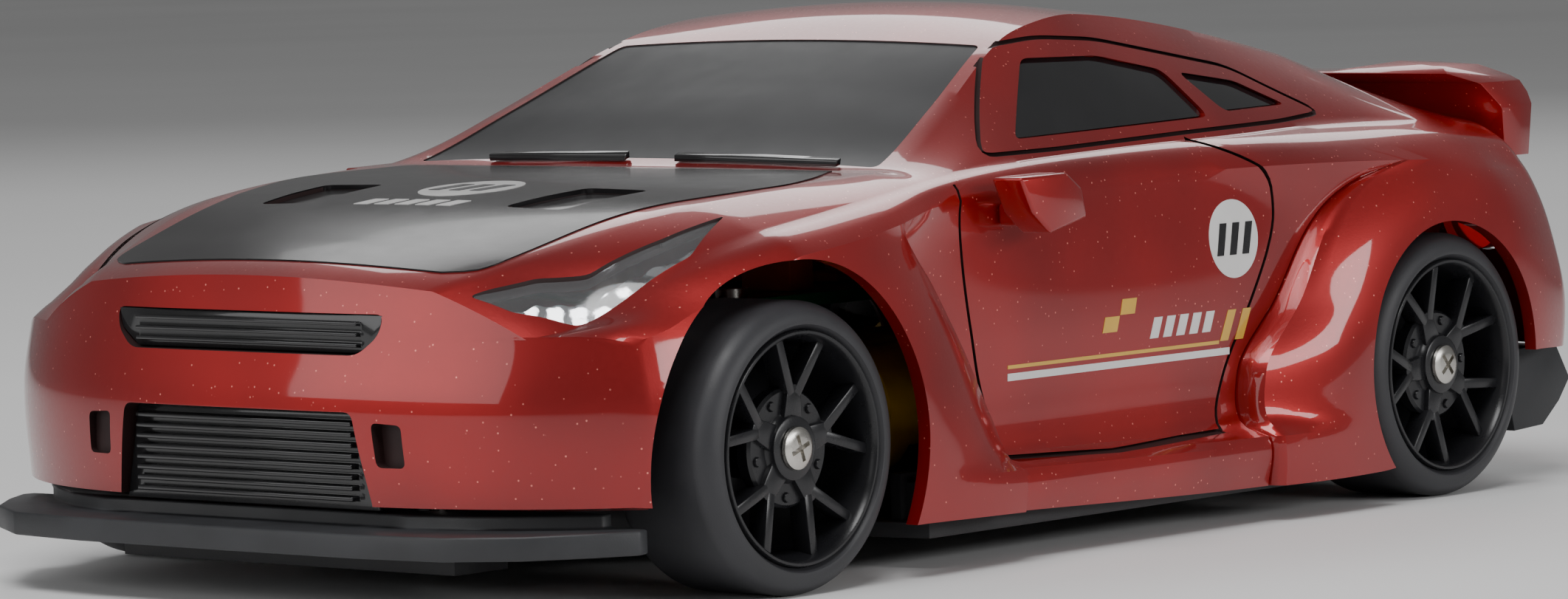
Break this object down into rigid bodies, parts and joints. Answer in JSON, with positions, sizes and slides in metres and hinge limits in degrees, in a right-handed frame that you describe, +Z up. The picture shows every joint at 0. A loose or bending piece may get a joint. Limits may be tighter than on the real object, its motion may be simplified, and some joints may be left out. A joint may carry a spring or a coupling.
{
  "type": "radio controlled drift car",
  "caption": "Small radio controlled wide-arch coupe with smooth drift tyres, steered front wheels, a motor-driven solid rear axle and a hollow moulded body over a flat chassis.",
  "frame": {"origin": "on the ground under the middle of the car's outline", "axes": "+X to the car's left, nose towards -Y, +Z up"},
  "size_m": [0.1, 0.1874, 0.0586],
  "materials": {
    "body_paint": "candy red metallic lacquer with fine flake under clear coat",
    "dark_glass": "gloss black tinted plastic",
    "screen_film": "satin smoke plastic",
    "lens_clear": "clear moulded plastic",
    "reflector": "vacuum metallised plastic",
    "lens_red": "red clear plastic",
    "led": "clear epoxy",
    "trim_black": "gloss black moulding",
    "matte_black": "satin black moulding",
    "chassis_black": "fine textured black nylon",
    "nylon_grey": "dark grey nylon",
    "nylon_white": "natural acetal",
    "servo_blue": "translucent blue case",
    "steel": "bright steel",
    "brass": "turned brass",
    "rim_black": "satin black wheel moulding",
    "tyre": "smooth hard drift tyre",
    "battery_wrap": "yellow shrink wrap",
    "board_green": "green solder resist",
    "component": "moulded connectors and parts",
    "wire_red": "soft insulation"
  },
  "bodies": {
    "car": {"body_shell": "body_paint", "windscreen": "screen_film", "left_windows": "dark_glass", "right_windows": "dark_glass", "rear_window": "screen_film", "left_headlight_lens": "lens_clear", "right_headlight_lens": "lens_clear", "left_headlight_bowl": "reflector", "right_headlight_bowl": "reflector", "headlight_leds": "led", "tail_lamps": "lens_red", "upper_grille": "trim_black", "lower_grille": "trim_black", "bonnet_vents": "trim_black", "front_splitter": "matte_black", "rear_diffuser": "matte_black", "rear_wing": "body_paint", "left_mirror": "body_paint", "right_mirror": "body_paint", "wipers": "trim_black", "body_screws": "steel", "chassis_tub": "chassis_black", "lower_arms": "nylon_grey", "upper_arms": "nylon_grey", "kingpins": "steel", "servo_case": "servo_blue", "motor_can": "steel", "motor_endbell": "chassis_black", "gearbox_housing": "nylon_grey", "gearbox_cover": "chassis_black", "rear_bearings": "steel", "battery": "battery_wrap", "battery_door": "chassis_black", "circuit_board": "board_green", "board_parts": "component", "board_screws": "steel", "power_switch": "nylon_grey", "motor_wires": "wire_red", "battery_wires": "wire_red"},
    "left_knuckle": {"left_knuckle": "nylon_grey", "front_left_bearings": "steel", "front_left_wheel_screw": "steel"},
    "right_knuckle": {"right_knuckle": "nylon_grey", "front_right_bearings": "steel", "front_right_wheel_screw": "steel"},
    "front_left_wheel": {"front_left_rim": "rim_black", "front_left_tyre": "tyre"},
    "front_right_wheel": {"front_right_rim": "rim_black", "front_right_tyre": "tyre"},
    "rear_axle": {"rear_axle": "steel", "spur_gear": "nylon_white", "rear_hexes": "brass", "rear_rims": "rim_black", "rear_tyres": "tyre", "rear_wheel_screws": "steel"},
    "motor_rotor": {"motor_shaft": "steel", "pinion_gear": "brass"},
    "steering_link": {"steering_link": "nylon_grey"},
    "servo_horn": {"servo_horn": "nylon_white"},
    "switch_knob": {"switch_knob": "trim_black"}
  },
  "joints": [
    {"name": "left_steer", "type": "hinge", "parent": "car", "child": "left_knuckle", "pos_m": [0.033, -0.056, 0.0152], "axis": [0, 0, 1], "range_deg": [-18, 18]},
    {"name": "right_steer", "type": "hinge", "parent": "car", "child": "right_knuckle", "pos_m": [-0.033, -0.056, 0.0152], "axis": [0, 0, 1], "range_deg": [-18, 18]},
    {"name": "link_slide", "type": "slide", "parent": "car", "child": "steering_link", "axis": [1, 0, 0], "range_m": [-0.0026, 0.0026]},
    {"name": "servo_turn", "type": "hinge", "parent": "car", "child": "servo_horn", "pos_m": [0, -0.056, 0.0165], "axis": [0, 0, 1], "range_deg": [-18, 18]},
    {"name": "front_left_spin", "type": "hinge", "parent": "left_knuckle", "child": "front_left_wheel", "pos_m": [0.0423, -0.056, 0.0152], "axis": [1, 0, 0], "continuous": true},
    {"name": "front_right_spin", "type": "hinge", "parent": "right_knuckle", "child": "front_right_wheel", "pos_m": [-0.0423, -0.056, 0.0152], "axis": [1, 0, 0], "continuous": true},
    {"name": "rear_axle_spin", "type": "hinge", "parent": "car", "child": "rear_axle", "pos_m": [0, 0.06, 0.0152], "axis": [1, 0, 0], "continuous": true},
    {"name": "motor_spin", "type": "hinge", "parent": "car", "child": "motor_rotor", "pos_m": [0, 0.05, 0.0152], "axis": [1, 0, 0], "continuous": true},
    {"name": "switch_slide", "type": "slide", "parent": "car", "child": "switch_knob", "axis": [0, 1, 0], "range_m": [0, 0.003]}
  ],
  "couplings": [
    {"joint": "right_steer", "follows": "left_steer", "ratio": 1},
    {"joint": "link_slide", "follows": "left_steer", "m_per_rad": -0.00787},
    {"joint": "servo_turn", "follows": "left_steer", "ratio": 1},
    {"joint": "motor_spin", "follows": "rear_axle_spin", "ratio": -3}
  ]
}
